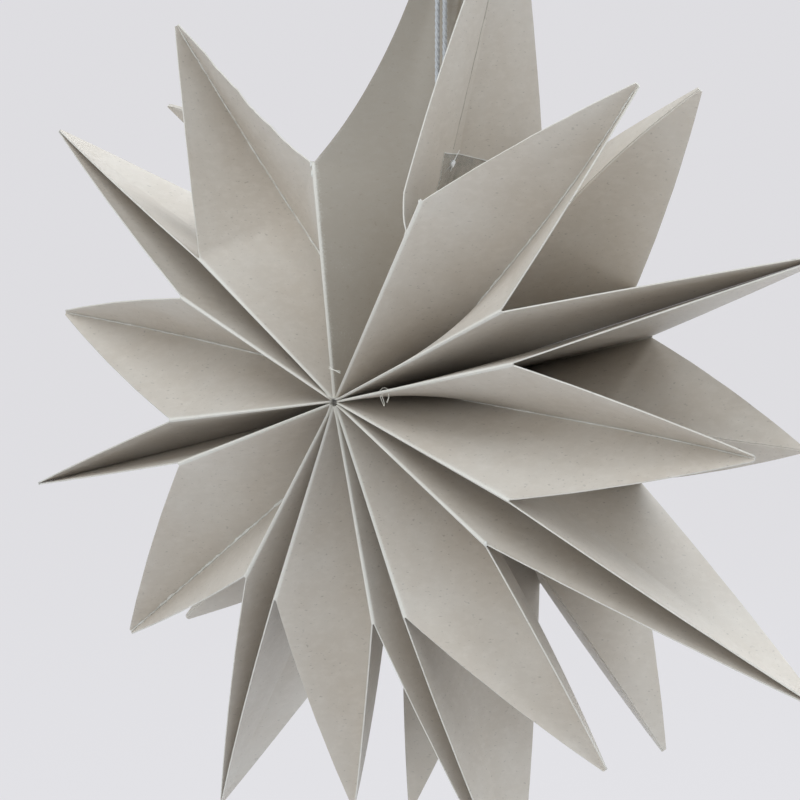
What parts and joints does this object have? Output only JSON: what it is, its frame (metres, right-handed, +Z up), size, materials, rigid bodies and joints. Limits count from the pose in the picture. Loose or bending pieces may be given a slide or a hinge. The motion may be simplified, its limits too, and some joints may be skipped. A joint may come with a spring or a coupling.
{
  "type": "folded paper bag star",
  "caption": "Hanging paper star of gusseted paper bags with pointed mouths, glued side by side and fanned round to a full circle, on a thin doubled cord with a loop.",
  "frame": {"origin": "the underside of the top of the hanging cord's loop, where a hook would hold it", "axes": "+Z up, the star's axis along Y with the front of the star at -Y, +X to the right as seen from the front"},
  "size_m": [0.2946, 0.0732, 0.3252],
  "materials": {
    "paper": "matte warm grey board, cream at its cut edges and folds",
    "cord": "grey twisted cotton cord",
    "clear_tape": "clear glossy sticky tape",
    "dark_thread": "dark thread"
  },
  "bodies": {
    "root": {"bag_1": "paper", "bag_2": "paper", "bag_3": "paper", "bag_4": "paper", "bag_5": "paper", "bag_6": "paper", "bag_7": "paper", "hanging_cord": "cord", "cord_tail": "cord", "cord_knot": "cord", "cord_end_knot": "cord", "loop_knot": "cord", "tape_patch": "clear_tape", "centre_tie": "dark_thread"}
  },
  "joints": []
}
